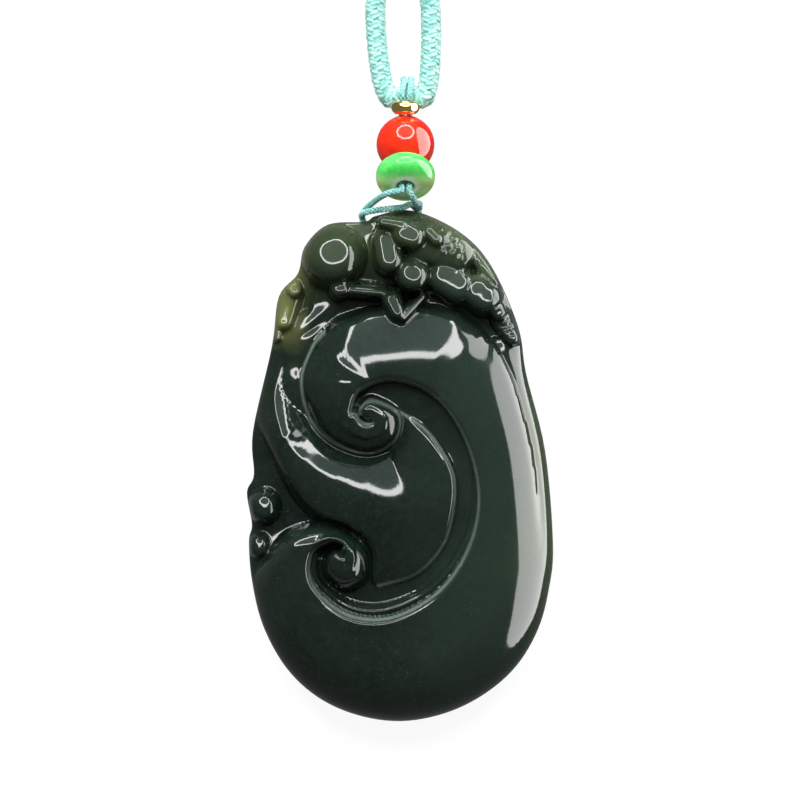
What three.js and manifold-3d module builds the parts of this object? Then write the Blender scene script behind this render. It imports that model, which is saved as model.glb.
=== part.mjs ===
// Carved jade pendant in the shape of a ruyi head with a small crouching beast,
// strung with three beads on a thin braided loop and hung from a thick braided necklace cord.
// Millimetres, +Z up. The pendant lies on its flat back, carving up, top end towards +Y.
import * as THREE from "three";
import { mergeVertices } from "three/addons/utils/BufferGeometryUtils.js";
import Module from "manifold-3d";

const wasm = await Module();
wasm.setup();

// Driving dimensions: the jade
const jadeWidth = 32.2;
const jadeLength = 53.8;
const jadeThickness = 9.5;
const rimHeight = 3.3; // height of the widest line of the edge above the flat back
const backRounding = 3.2; // width of the rounded edge of the back
const edgeRounding = 3.6; // width of the rounded edge of the carved front, on the left
const rightRounding = 3; // how much wider that is on the right
const footRounding = 2.5; // and at the lower left
const domeRounding = 7.5; // width of the dome's rounded top edge
const sideStep = 1.3; // drop past the crease along the right side
const tunnelBore = 2.1; // stringing tunnel drilled behind the top edge

// Driving dimensions: beads, each drilled along its axis
const redDiameter = 6.1;
const greenDiameter = 6.2;
const greenThickness = 3.2;
const goldDiameter = 2.96;
const goldThickness = 1.8;
const beadBore = 2.5; // red and green beads
const goldBore = 2.1;
const greenLean = 42; // degrees that the string rises from the red bead to the green one
const goldLean = 6; // and from the red bead to the gold one
const redLean = 16; // tilt of the red bead's own bore
const redReach = 6.9; // from the jade's top end up to the red bead's middle
const gap = 0.25; // clearance between pieces that touch

// Driving dimensions: cords
const thinCord = 0.72;
const strandPitch = 0.78; // two strands of the thin cord side by side
const necklaceCord = 2.2;
const bightReach = 5.46; // from the red bead's middle to the bight
const runLength = 12.3; // from the bight to the coil's near side
const coilMean = 24.2; // diameter at the middle of the coil's turns
const coilWide = 4.7; // turns side by side
const coilHigh = 2; // turns on each other

// Mesh fineness
const rimSpacing = 0.85;
const lineSpacing = 0.6;
const meshSpacing = 0.95;
const beadSides = 20;
const thinSides = 6;
const cordSides = 8;

// The carving is drawn in small steps from the middle of the jade, +X right and +Y to the top end
const drawingWidth = 307;
const drawingLength = 512;
const stepX = jadeWidth / drawingWidth;
const stepY = jadeLength / drawingLength;
const step = stepY;
const place = ([x, y]) => new THREE.Vector2(x * stepX, y * stepY);
const depth = (share) => share * jadeThickness;

const smooth = (value) => {
  const t = THREE.MathUtils.clamp(value, 0, 1);
  return t * t * (3 - 2 * t);
};
// A quarter-round shoulder: 0 at the line, 1 a radius away from it
const shoulder = (distance, radius) => {
  const t = THREE.MathUtils.clamp(distance / radius, 0, 1);
  return Math.sqrt(1 - (1 - t) * (1 - t));
};
const softMax = (a, b, width) => {
  const h = THREE.MathUtils.clamp(0.5 + (a - b) / (2 * width), 0, 1);
  return b + (a - b) * h + width * h * (1 - h);
};
// A value that follows a few stops [share, value]
const follow = (stops, share) => {
  for (let i = 1; i < stops.length; i += 1) {
    const [s0, v0] = stops[i - 1];
    const [s1, v1] = stops[i];
    if (share <= s1) return v0 + (v1 - v0) * Math.max(0, (share - s0) / (s1 - s0));
  }
  return stops[stops.length - 1][1];
};

function drawnLine(points, piecesPerSpan = 6) {
  const curve = new THREE.SplineCurve(points.map(place));
  return curve.getPoints((points.length - 1) * piecesPerSpan);
}

// Distance from a point to a drawn line, the share along it, and the side (+1 is left of its way)
function nearest(line, x, y) {
  let best = { distance: Infinity, share: 0, side: 1, x, y };
  let run = 0;
  const lengths = line.slice(1).map((p, i) => p.distanceTo(line[i]));
  const total = lengths.reduce((sum, value) => sum + value, 0);
  for (let i = 0; i < lengths.length; i += 1) {
    const from = line[i];
    const dx = (line[i + 1].x - from.x) / lengths[i];
    const dy = (line[i + 1].y - from.y) / lengths[i];
    const t = THREE.MathUtils.clamp((x - from.x) * dx + (y - from.y) * dy, 0, lengths[i]);
    const px = from.x + t * dx;
    const py = from.y + t * dy;
    const distance = Math.hypot(x - px, y - py);
    if (distance < best.distance) {
      const side = Math.sign(dx * (y - from.y) - dy * (x - from.x)) || 1;
      best = { distance, share: (run + t) / total, side, x: px, y: py };
    }
    run += lengths[i];
  }
  return best;
}

function encloses(polygon, x, y) {
  let inside = false;
  polygon.forEach((a, i) => {
    const b = polygon[(i + 1) % polygon.length];
    if (a.y > y !== b.y > y && x < a.x + ((y - a.y) * (b.x - a.x)) / (b.y - a.y)) inside = !inside;
  });
  return inside;
}

// The outline, from the right side anticlockwise
const outline = new THREE.CatmullRomCurve3(
  [
    [145, 13], [126, 90], [118, 137], [91, 198], [59, 232], [12, 253], [-24, 248], [-36, 242],
    [-73, 239], [-96, 217], [-103, 190], [-122, 167], [-129, 117], [-148, 32], [-147, -11],
    [-154, -29], [-149, -61], [-152, -78], [-149, -117], [-138, -162], [-115, -204], [-83, -234],
    [-43, -252], [1, -258], [45, -250], [84, -231], [116, -203], [138, -166], [149, -125], [153, -80],
  ].map((p) => new THREE.Vector3(place(p).x, place(p).y, 0)),
  true,
  "catmullrom",
).getPoints(150).slice(0, -1).map((p) => new THREE.Vector2(p.x, p.y));
const closedOutline = [...outline, outline[0]];

// The scrolled band's inner edge, from the heart of the upper scroll to that of the lower one
const bandEdge = drawnLine([
  [-48, 52], [-40, 71], [-10, 82], [26, 71], [55, 39], [73, -7], [75, -51], [61, -94],
  [32, -130], [-12, -152], [-54, -148], [-86, -120], [-87, -91], [-69, -79], [-58, -82],
]);
// The dome's edge, from the heart of the upper scroll out and up the left side
const domeEdge = drawnLine([
  [-30, 42], [-37, 43], [-43, 54], [-28, 65], [0, 50], [-4, 22], [-32, 8], [-68, 19],
  [-92, 44], [-101, 83], [-90, 117], [-78, 132],
]);
const domeTop = drawnLine([[-78, 132], [-61, 144], [-21, 156], [45, 155], [78, 137], [90, 124]]);
const sideCrease = drawnLine([[90, 124], [104, 102], [116, 73], [133, 7], [141, -66], [142, -102]]);
// The lower scroll's edge, from its heart out to the left side
const scrollEdge = drawnLine([
  [-58, -90], [-65, -84], [-75, -92], [-77, -110], [-63, -124], [-46, -125], [-32, -114],
  [-32, -88], [-51, -68], [-82, -59], [-118, -72], [-146, -112],
]);
// The cloud wave between the scrolls: its right edge, its lower left edge and its crest
const waveRight = drawnLine([
  [-4, 56], [19, 41], [38, 22], [55, -12], [54, -50], [43, -84], [16, -112], [-22, -124],
]);
const waveLeft = drawnLine([[-146, 52], [-139, 29], [-122, -8], [-103, -39], [-84, -58]]);
const waveCrest = drawnLine([
  [-64, 160], [-99, 131], [-117, 104], [-129, 66], [-116, 24], [-96, 5], [-77, -7], [-47, -13],
  [-20, -13], [7, -4], [38, 22],
]);
const domeRim = [...domeEdge.slice(Math.round(domeEdge.length * 0.72)), ...domeTop];
const farOut = [[-220, -112], [-220, -360], [220, -360], [220, 150]].map(place);
const bandArea = [
  ...bandEdge, ...scrollEdge, ...farOut, ...[...domeTop].reverse(), ...[...domeEdge].reverse(),
];
const waveFoot = drawnLine([[-84, -60], [-53, -69], [-33, -91], [-30, -114], [-22, -124]]);
const waveTop = [[-58, 163], [-70, 167], [-89, 159], [-117, 139], [-125, 126], [-220, 124]].map(place);
const domeSide = domeEdge.slice(Math.round(domeEdge.length * 0.36));
const waveArea = [
  place([-220, 52]), ...waveLeft, ...waveFoot, ...[...waveRight].reverse(), ...domeSide, ...waveTop,
];

// Depth of the cut ground between the raised forms, as shares of the thickness
const ground = [
  [30, 58, 0.75], [65, -20, 0.77], [52, -90, 0.72], [-15, -122, 0.64], [-82, -106, 0.67],
  [-42, 58, 0.74], [0, 34, 0.73], [-31, 8, 0.69], [-100, 68, 0.6], [-96, 112, 0.55],
  [-30, 158, 0.48], [70, 152, 0.51], [144, 14, 0.58], [-144, 14, 0.48], [-106, -50, 0.48],
  [-60, -64, 0.57], [-30, -92, 0.62], [-112, 152, 0.42], [-60, 224, 0.46], [60, 224, 0.46],
];

// Raised forms of the beast and the pearls: rounded lumps drawn from one point to another.
// Radius in drawing steps, top and drop as shares of the thickness.
const lump = (from, to, radius, top, drop) => ({ from: place(from), to: place(to), radius, top, drop });
const lumps = [
  lump([-68, 207], [-65, 208], [32, 32], [0.95, 0.95], 0.59), // ball
  lump([-62, 174], [-58, 174], [10.5, 9.5], [0.83, 0.83], 0.27), // end of the foreleg
  lump([-55, 174], [-18, 171], [7.5, 7], [0.8, 0.79], 0.23), // foreleg
  lump([-8, 165], [-3, 148], [11, 8], [0.94, 0.91], 0.38), // paw
  lump([0, 149], [24, 169], [8, 5], [0.88, 0.82], 0.27), // claw
  lump([10, 191], [13, 190], [18, 18], [0.97, 0.97], 0.36), // jowl
  lump([-20, 226], [-10, 203], [12, 16], [0.9, 0.9], 0.3), // cheek
  lump([-35, 196], [-8, 187], [14, 14], [0.78, 0.82], 0.25), // muzzle
  lump([3, 231], [12, 228], [14, 14], [0.95, 0.95], 0.28), // brow
  lump([-22, 240], [-3, 238], [9, 10], [0.83, 0.86], 0.25), // crown
  lump([25, 221], [55, 212], [27, 24], [0.83, 0.79], 0.4), // nape
  lump([47, 182], [80, 166], [23, 21], [0.86, 0.84], 0.42), // body
  lump([82, 172], [84, 168], [18, 18], [0.92, 0.9], 0.34), // haunch
  lump([70, 206], [94, 174], [16, 13], [0.71, 0.68], 0.31), // back
  lump([100, 146], [112, 126], [13, 9], [0.65, 0.65], 0.27), // tail
  lump([-109, 169], [-116, 146], [13, 11], [0.61, 0.55], 0.25), // leaf
  lump([-136, -41], [-136, -44], [17, 17], [0.76, 0.76], 0.41), // upper pearl
  lump([-141, -80], [-141, -84], [12, 12], [0.62, 0.62], 0.28), // lower pearl
];

const bandShoulder = 0.55;
const waveShoulder = 0.6;
const creaseDepth = 0.4;
const creaseWidth = 0.4;
const lumpFullness = 2.35; // 2 is round, more is flatter on top

function groundHeight(x, y) {
  let sum = 0;
  let weights = 0;
  ground.forEach(([gx, gy, share]) => {
    const p = place([gx, gy]);
    const weight = 1 / (Math.hypot(x - p.x, y - p.y) ** 2 + 1) ** 1.6;
    sum += weight * depth(share);
    weights += weight;
  });
  return sum / weights;
}

// The broad band and the dome: highest in the middle, falling to their edges
function bandHeight(x, y, floor, dome, scroll) {
  const top = jadeThickness * (1 - 0.095 * (x / (jadeWidth / 2)) ** 2 - 0.053 * (y / (jadeLength / 2)) ** 2);
  const innerRound = bandShoulder * (1 + 5.8 * smooth((dome.share - 0.12) / 0.35));
  const scrollRound = waveShoulder * (1 + 2 * smooth((scroll.share - 0.3) / 0.3));
  const rise = shoulder(nearest(bandEdge, x, y).distance, bandShoulder)
    * shoulder(dome.distance, innerRound)
    * shoulder(nearest(domeRim, x, y).distance, domeRounding)
    * shoulder(scroll.distance, scrollRound);
  const crease = nearest(sideCrease, x, y);
  const drop = crease.side > 0 ? sideStep * (1 - smooth(crease.share)) : 0;
  return Math.max(floor + (top - floor) * rise - drop, floor);
}

// The wave: steep on the dome's side of its crest, gentle towards the lower scroll
function waveHeight(x, y, floor, dome, scroll) {
  const crest = nearest(waveCrest, x, y);
  const crestTop = depth(follow([[0, 0.65], [0.15, 0.76], [0.35, 0.84], [0.6, 0.92], [1, 0.93]], crest.share));
  const [slope, roll] = crest.side > 0 ? [0.75, 0.9] : [0.36, 1.6];
  const top = Math.max(crestTop - slope * (Math.hypot(crest.distance, roll) - roll), floor + 0.15);
  const rise = shoulder(dome.distance, waveShoulder)
    * shoulder(nearest(waveRight, x, y).distance, waveShoulder)
    * shoulder(nearest(waveLeft, x, y).distance, 2 * waveShoulder)
    * shoulder(nearest(waveTop, x, y).distance, 3 * waveShoulder)
    * shoulder(scroll.distance, 1.5 * waveShoulder);
  return floor + (top - floor) * rise;
}

// The narrow rolled lip along the band's inner edge, in the channel
function lipHeight(x, y) {
  const edge = nearest(bandEdge, x, y);
  const width = follow([[0.25, 0.01], [0.45, 0.6], [0.7, 1.25], [0.85, 1], [1, 0.3]], edge.share);
  const height = follow([[0.25, 0], [0.45, 0.5], [0.7, 1.3], [1, 1]], edge.share);
  const across = (2 * edge.distance) / width - 1;
  return Math.abs(across) < 1 ? height * Math.sqrt(1 - across * across) : 0;
}

function lumpHeight(form, x, y) {
  const along = form.to.clone().sub(form.from);
  const at = new THREE.Vector2(x, y).sub(form.from);
  const share = THREE.MathUtils.clamp(at.dot(along) / along.lengthSq(), 0, 1);
  const distance = at.addScaledVector(along, -share).length();
  const radius = THREE.MathUtils.lerp(form.radius[0], form.radius[1], share) * step;
  const top = depth(THREE.MathUtils.lerp(form.top[0], form.top[1], share));
  const across = distance / radius;
  if (across >= 1) return 0;
  return top - depth(form.drop) * (1 - (1 - across ** lumpFullness) ** (1 / lumpFullness));
}

// Height of the carved front over the flat back
function frontHeight(x, y) {
  const floor = groundHeight(x, y);
  const dome = nearest(domeEdge, x, y);
  const scroll = nearest(scrollEdge, x, y);
  let carved = floor + lipHeight(x, y);
  if (encloses(bandArea, x, y)) carved = bandHeight(x, y, floor, dome, scroll);
  else if (encloses(waveArea, x, y)) carved = waveHeight(x, y, floor, dome, scroll);
  const crease = nearest(sideCrease, x, y);
  const fade = smooth(crease.share / 0.15) * smooth((1 - crease.share) / 0.3);
  carved -= creaseDepth * fade * Math.exp(-((crease.distance / creaseWidth) ** 2));

  const edge = nearest(closedOutline, x, y).distance;
  const across = x / stepX;
  const down = -y / stepY;
  const roundTop = edgeRounding + rightRounding * smooth((across + 57) / 133)
    + footRounding * smooth((down - 38) / 133) * smooth((57 - across) / 133);
  const body = rimHeight + (carved - rimHeight) * shoulder(edge, roundTop);
  let raised = 0;
  lumps.forEach((form) => {
    raised = softMax(raised, lumpHeight(form, x, y), 0.12);
  });
  return softMax(body, rimHeight + (raised - rimHeight) * shoulder(edge, 1.2), 0.15);
}

// Points in a row beside a drawn line
function lineRow(line, offset, spacing) {
  const curve = new THREE.CatmullRomCurve3(line.map((p) => new THREE.Vector3(p.x, p.y, 0)));
  const count = Math.round(curve.getLength() / spacing);
  const row = [];
  for (let k = 0; k <= count; k += 1) {
    const at = curve.getPointAt(k / count);
    const way = curve.getTangentAt(k / count);
    row.push(new THREE.Vector2(at.x - way.y * offset, at.y + way.x * offset));
  }
  return row;
}

// Points of the carved front inside a ring: rows on the carved lines and at the tops of their
// walls, and a plain three-way grid between them
function frontPoints(ring) {
  const kept = [...ring];
  const closedRing = [...ring, ring[0]];
  const keep = (row, clearance) => {
    row.forEach((point) => {
      if (!encloses(ring, point.x, point.y)) return;
      if (nearest(closedRing, point.x, point.y).distance < 0.55 * rimSpacing) return;
      if (kept.every((other) => other.distanceTo(point) > clearance)) kept.push(point);
    });
  };
  const tight = 0.3 * meshSpacing;
  const wallTop = 0.8 * bandShoulder;
  const rows = [
    [bandEdge, wallTop], [scrollEdge, wallTop], [domeEdge, -wallTop], [waveRight, -wallTop],
  ];
  rows.forEach(([line]) => keep(lineRow(line, 0, lineSpacing), tight));
  rows.forEach(([line, offset]) => keep(lineRow(line, offset, lineSpacing), tight));
  [waveLeft, waveCrest, sideCrease].forEach((line) => keep(lineRow(line, 0, meshSpacing), tight));
  const rowHeight = (meshSpacing * Math.sqrt(3)) / 2;
  for (let j = 0; j * rowHeight < jadeLength; j += 1) {
    const row = [];
    for (let i = 0; i * meshSpacing < jadeWidth; i += 1) {
      const x = -jadeWidth / 2 + (i + (j % 2) / 2) * meshSpacing;
      row.push(new THREE.Vector2(x, -jadeLength / 2 + j * rowHeight));
    }
    keep(row, 0.62 * meshSpacing);
  }
  return kept;
}

// Triangles between a set of points, none with another point inside its circle, found by
// adding one point after another
function triangulate(points) {
  const far = 10 * jadeLength;
  const count = points.length;
  const all = [...points, ...[[-far, -far], [far, -far], [0, far]].map(([x, y]) => new THREE.Vector2(x, y))];
  const withCircle = (corners) => {
    const [p, q, r] = corners.map((k) => all[k]);
    const [pp, qq, rr] = [p, q, r].map((corner) => corner.lengthSq());
    const d = 2 * (p.x * (q.y - r.y) + q.x * (r.y - p.y) + r.x * (p.y - q.y));
    const x = (pp * (q.y - r.y) + qq * (r.y - p.y) + rr * (p.y - q.y)) / d;
    const y = (pp * (r.x - q.x) + qq * (p.x - r.x) + rr * (q.x - p.x)) / d;
    return { corners, centre: new THREE.Vector2(x, y), reach: Math.hypot(x - p.x, y - p.y) };
  };
  let triangles = [withCircle([count, count + 1, count + 2])];
  points.forEach((point, index) => {
    const border = new Map();
    triangles = triangles.filter(({ corners, centre, reach }) => {
      if (centre.distanceTo(point) > reach) return true;
      corners.forEach((from, k) => {
        const to = corners[(k + 1) % 3];
        if (!border.delete(`${to},${from}`)) border.set(`${from},${to}`, [from, to]);
      });
      return false;
    });
    border.forEach(([from, to]) => triangles.push(withCircle([from, to, index])));
  });
  return triangles.map(({ corners }) => corners).filter((corners) => Math.max(...corners) < count);
}

function jadeBlank() {
  const positions = [];
  const index = [];
  const addPoint = (x, y, z) => positions.push(x, y, z) / 3 - 1;
  const rim = lineRow([...closedOutline], 0, rimSpacing).slice(0, -1);
  const insetRing = (inset) => rim.map((point) => point.clone().setLength(point.length() - inset));
  const join = (outer, inner, facing) => {
    outer.forEach((a, k) => {
      const [b, c, d] = [outer[(k + 1) % rim.length], inner[k], inner[(k + 1) % rim.length]];
      if (facing > 0) index.push(a, b, c, b, d, c);
      else index.push(a, c, b, b, c, d);
    });
  };
  const rimRing = rim.map((point) => addPoint(point.x, point.y, rimHeight));

  let ring = rimRing;
  const frontInsets = [0.1, 0.4, 1];
  frontInsets.forEach((inset) => {
    const next = insetRing(inset).map((p) => addPoint(p.x, p.y, frontHeight(p.x, p.y)));
    join(ring, next, 1);
    ring = next;
  });
  const boundary = insetRing(frontInsets[frontInsets.length - 1]);
  const front = frontPoints(boundary);
  const numbers = front.map((p, k) => (
    k < ring.length ? ring[k] : addPoint(p.x, p.y, frontHeight(p.x, p.y))
  ));
  triangulate(front).forEach((corners) => {
    const middle = corners.reduce((sum, k) => sum.add(front[k]), new THREE.Vector2()).divideScalar(3);
    if (encloses(boundary, middle.x, middle.y)) index.push(...corners.map((k) => numbers[k]));
  });

  ring = rimRing;
  [0.14, 0.5, 1].forEach((share) => {
    const height = rimHeight * (1 - shoulder(share, 1));
    const next = insetRing(share * backRounding).map((p) => addPoint(p.x, p.y, height));
    join(ring, next, -1);
    ring = next;
  });
  const middle = addPoint(0, 0, 0);
  ring.forEach((vertex, k) => index.push(vertex, middle, ring[(k + 1) % rim.length]));

  const geometry = new THREE.BufferGeometry();
  geometry.setAttribute("position", new THREE.Float32BufferAttribute(positions, 3));
  geometry.setIndex(index);
  return geometry;
}

function asSolid(geometry) {
  const bare = geometry.clone();
  bare.deleteAttribute("normal");
  bare.deleteAttribute("uv");
  const merged = mergeVertices(bare, 1e-5);
  return new wasm.Manifold(new wasm.Mesh({
    numProp: 3,
    vertProperties: new Float32Array(merged.attributes.position.array),
    triVerts: new Uint32Array(merged.index.array),
  }));
}

function asGeometry(solid) {
  const mesh = solid.getMesh();
  const geometry = new THREE.BufferGeometry();
  geometry.setAttribute("position", new THREE.Float32BufferAttribute(mesh.vertProperties, 3));
  geometry.setIndex([...mesh.triVerts]);
  geometry.computeVertexNormals();
  return geometry;
}

function roundSection(diameter, sides) {
  const section = new THREE.Shape();
  for (let k = 0; k < sides; k += 1) {
    const angle = (2 * Math.PI * (k + 0.5)) / sides;
    const radius = diameter / 2;
    if (k === 0) section.moveTo(radius * Math.cos(angle), radius * Math.sin(angle));
    else section.lineTo(radius * Math.cos(angle), radius * Math.sin(angle));
  }
  section.closePath();
  return section;
}

function tubeAlong(points, diameter, sides, steps) {
  const path = new THREE.CatmullRomCurve3(points, false, "centripetal");
  return new THREE.ExtrudeGeometry(roundSection(diameter, sides), {
    steps,
    bevelEnabled: false,
    extrudePath: path,
  });
}

// A drawn point with its height over the back, and one measured up from the top end
const spot = (x, y, z) => new THREE.Vector3(x * stepX, y * stepY, z);
const topEnd = Math.max(...outline.map((p) => p.y));
const above = (x, rise, z) => new THREE.Vector3(x * stepX, topEnd + rise, z);

// The stringing tunnel: two drillings that meet behind the top edge, hidden from the front
const tunnelHeight = 2.3;
const tunnelRoute = [[18, 262], [18, 250], [14, 235], [-8, 225], [-31, 231], [-37, 242], [-38, 256]];
function tunnelPoints(lift) {
  return tunnelRoute.map(([x, y]) => spot(x, y, tunnelHeight + lift));
}

function jade() {
  const tunnel = tubeAlong(tunnelPoints(0), tunnelBore, 10, 16);
  return asGeometry(asSolid(jadeBlank()).subtract(asSolid(tunnel)));
}

// Beads along the string: the red one rests on the surface, the green one leans up against it
// and the gold one lies on the bight of the necklace cord
const redRadius = redDiameter / 2;
const redCentre = above(5, redReach, redRadius);
const redMouth = Math.sqrt(redRadius ** 2 - (beadBore / 2) ** 2);
const lean = (degrees, way) => {
  const angle = THREE.MathUtils.degToRad(degrees);
  return new THREE.Vector3(0, way * Math.cos(angle), Math.sin(angle));
};
const greenAxis = lean(greenLean, -1);
const goldAxis = lean(goldLean, 1);
const redAxis = lean(redLean, -1);
const greenCentre = redCentre.clone().addScaledVector(greenAxis, redMouth + gap + greenThickness / 2);
const goldCentre = redCentre.clone().addScaledVector(goldAxis, redMouth + gap + goldThickness / 2);

// A drilled bead: half-width and half-thickness of its rounded form, with flat faces round the bore
function bead(diameter, thickness, bore, fullness, rows) {
  const start = Math.asin((bore / diameter) ** (1 / fullness));
  const face = (thickness / 2) * Math.cos(start) ** fullness;
  const profile = [new THREE.Vector2(bore / 2, -face)];
  for (let k = 1; k < rows; k += 1) {
    const angle = start + ((Math.PI - 2 * start) * k) / rows;
    const height = -Math.sign(Math.cos(angle)) * Math.abs(Math.cos(angle)) ** fullness;
    profile.push(new THREE.Vector2(
      (diameter / 2) * Math.sin(angle) ** fullness,
      (thickness / 2) * height,
    ));
  }
  profile.push(new THREE.Vector2(bore / 2, face));
  profile.push(profile[0].clone());
  return new THREE.LatheGeometry(profile, beadSides);
}

// The thin cord: one strand that goes down through the beads, twice through the tunnel
// and back up beside itself; its two ends wrap the bight of the necklace cord.
const bight = above(7, redReach + bightReach, necklaceCord / 2);
const wrapRadius = necklaceCord / 2 + gap + thinCord / 2;

// How far the pair of strands can lie off the middle of a bore
function slack(bore) {
  const free = 0.48 * bore - thinCord / 2 - 0.05;
  return Math.sqrt(free ** 2 - (strandPitch / 2) ** 2);
}

// A point on the thin cord in a bead, lifted off the bore's middle towards its upper wall
function strandPoint(centre, axis, bore, distance, lift, side) {
  const upward = new THREE.Vector3(0, -Math.sign(axis.y) * axis.z, Math.abs(axis.y));
  const point = centre.clone().addScaledVector(axis, distance).addScaledVector(upward, lift * slack(bore));
  point.x += (side * strandPitch) / 2;
  return point;
}

function wrapPoints(side) {
  const x = bight.x + (side * strandPitch) / 2;
  return [-25, 12, 50].map((degrees) => {
    const angle = THREE.MathUtils.degToRad(degrees);
    return new THREE.Vector3(
      x,
      bight.y + wrapRadius * Math.cos(angle),
      bight.z + wrapRadius * Math.sin(angle),
    );
  });
}

function beadStrand(side) {
  const gold = (distance, lift) => strandPoint(goldCentre, goldAxis, goldBore, distance, lift, side);
  const red = (distance, lift) => strandPoint(redCentre, redAxis, beadBore, distance, lift, side);
  const green = (distance, lift) => strandPoint(greenCentre, greenAxis, beadBore, distance, lift, side);
  const goldEnd = goldThickness / 2;
  const greenEnd = greenThickness / 2;
  return [
    gold(goldEnd + thinCord / 2, 0.3), gold(0, -0.6), gold(-goldEnd, -1),
    red(-redRadius * 0.8, 0.5), red(0, 0.5), red(redRadius * 0.8, 0.6),
    green(-greenEnd / 2, -0.6), green(greenEnd, 0), green(greenEnd + thinCord / 2, 0),
  ];
}

function hangingLoop() {
  const half = strandPitch / 2;
  const rightRun = [above(11.5, 1.4, 7.1), above(15.5, 0.67, 5.6), above(19, 0.62, 3.9), above(19, 0.25, 2.9)];
  const across = [
    above(-39, -0.65, 3), above(-36, -0.17, 4.2), above(-24, 0.35, 5), above(-10, 0.57, 4.9),
    above(2, 0.6, 4), above(11, 0.56, 2.8),
  ];
  const leftRun = [
    above(-38.5, -0.54, 2), above(-35, 0.1, 2.6), above(-28, 0.72, 4.4), above(-20, 1.3, 6.4),
    above(-10, 1.77, 7.6),
  ];
  const route = [
    ...wrapPoints(1), ...beadStrand(1), ...rightRun,
    ...tunnelPoints(half).slice(1, -1), ...across,
    ...tunnelPoints(-half).slice(1, -1), ...leftRun,
    ...beadStrand(-1).reverse(), ...wrapPoints(-1).reverse(),
  ];
  return tubeAlong(route, thinCord, thinSides, 110);
}

// The necklace cord: two runs joined by the bight under the gold bead, from the bight's middle
const leftRoute = [[-3.45, 1], [-3.4, 0.7], [-3.25, 0.46], [-2.95, 0.24], [-2.5, 0.06], [-1.7, -0.05]];
const rightRoute = [[2.4, 1], [2.45, 0.7], [2.5, 0.46], [2.4, 0.24], [2.15, 0.06], [1.6, -0.05]];
function necklaceRoute() {
  const run = (route) => route.map(([x, up]) => (
    new THREE.Vector3(bight.x + x, bight.y + up * runLength, bight.z)
  ));
  return [...run(leftRoute), bight.clone(), ...run(rightRoute).reverse()];
}

function necklaceTube() {
  return tubeAlong(necklaceRoute(), necklaceCord, cordSides, 20);
}

function coilRing() {
  const inner = coilMean / 2 - (coilWide * necklaceCord) / 2;
  const outer = coilMean / 2 + (coilWide * necklaceCord) / 2;
  const high = coilHigh * necklaceCord;
  const soft = necklaceCord / 4;
  const profile = [
    [inner + soft, 0], [outer - soft, 0], [outer, soft], [outer, high - soft],
    [outer - soft, high], [inner + soft, high], [inner, high - soft], [inner, soft], [inner + soft, 0],
  ].map(([r, z]) => new THREE.Vector2(r, z));
  return new THREE.LatheGeometry(profile, 24);
}

const finish = (color, roughness, metalness) => new THREE.MeshStandardMaterial({ color, roughness, metalness });
const group = new THREE.Group();
function add(name, geometry, material) {
  const mesh = new THREE.Mesh(geometry, material);
  mesh.name = name;
  group.add(mesh);
  return mesh;
}
function addBead(name, geometry, centre, axis, material) {
  const mesh = add(name, geometry, material);
  mesh.position.copy(centre);
  mesh.quaternion.setFromUnitVectors(new THREE.Vector3(0, 1, 0), axis);
}

add("jade_pendant", jade(), finish(0x24382a, 0.12, 0));
addBead("red_bead", bead(redDiameter, redDiameter, beadBore, 1, 12), redCentre, redAxis,
  finish(0xd8321a, 0.1, 0));
addBead("green_bead", bead(greenDiameter, greenThickness, beadBore, 0.8, 10), greenCentre, greenAxis,
  finish(0x5fd06a, 0.12, 0));
addBead("gold_bead", bead(goldDiameter, goldThickness, goldBore, 0.85, 8), goldCentre, goldAxis,
  finish(0xd9a93c, 0.15, 1));
add("hanging_loop", hangingLoop(), finish(0x4fa697, 0.7, 0));
add("necklace_cord", necklaceTube(), finish(0x97d8c6, 0.75, 0));
const coil = add("necklace_coil", coilRing(), finish(0x97d8c6, 0.75, 0));
coil.rotation.x = Math.PI / 2;
const coilOuter = coilMean / 2 + (coilWide * necklaceCord) / 2;
coil.position.set(bight.x, bight.y + runLength + gap + coilOuter, 0);

export default group;
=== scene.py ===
import math
import bmesh
import bpy
import numpy as np
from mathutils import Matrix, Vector


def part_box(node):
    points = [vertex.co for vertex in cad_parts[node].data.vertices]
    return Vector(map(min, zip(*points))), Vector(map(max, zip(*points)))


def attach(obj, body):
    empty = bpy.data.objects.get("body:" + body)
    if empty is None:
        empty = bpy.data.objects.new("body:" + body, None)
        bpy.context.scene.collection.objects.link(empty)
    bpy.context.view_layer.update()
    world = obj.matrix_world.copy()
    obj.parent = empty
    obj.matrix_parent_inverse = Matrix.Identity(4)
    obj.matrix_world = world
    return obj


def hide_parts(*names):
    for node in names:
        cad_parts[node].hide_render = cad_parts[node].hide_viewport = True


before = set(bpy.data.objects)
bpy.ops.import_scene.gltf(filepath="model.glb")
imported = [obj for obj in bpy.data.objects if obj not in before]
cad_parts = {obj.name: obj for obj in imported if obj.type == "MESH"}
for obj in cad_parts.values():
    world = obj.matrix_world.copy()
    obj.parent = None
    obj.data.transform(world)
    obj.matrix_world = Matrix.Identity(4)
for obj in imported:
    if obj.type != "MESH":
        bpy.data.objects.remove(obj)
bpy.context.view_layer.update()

# Carved jade pendant lying on its flat back, with its beads and cords.
# Lengths in the settings are millimetres unless a name says otherwise.
mm = 0.001
touching = 1e-7  # metres: points of a seam that are this close are one point
scene = bpy.context.scene


def nodeBox(node):
    low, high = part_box(node)
    return np.array(low) / mm, np.array(high) / mm


# camera: straight down on the pendant through a long lens, top end upwards
camera = {"centre": (-0.05, 6.67, 5.0), "viewSide": 84.0, "distance": 1000.0, "sensor": 36.0,
          "clipStart": 10.0}


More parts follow.
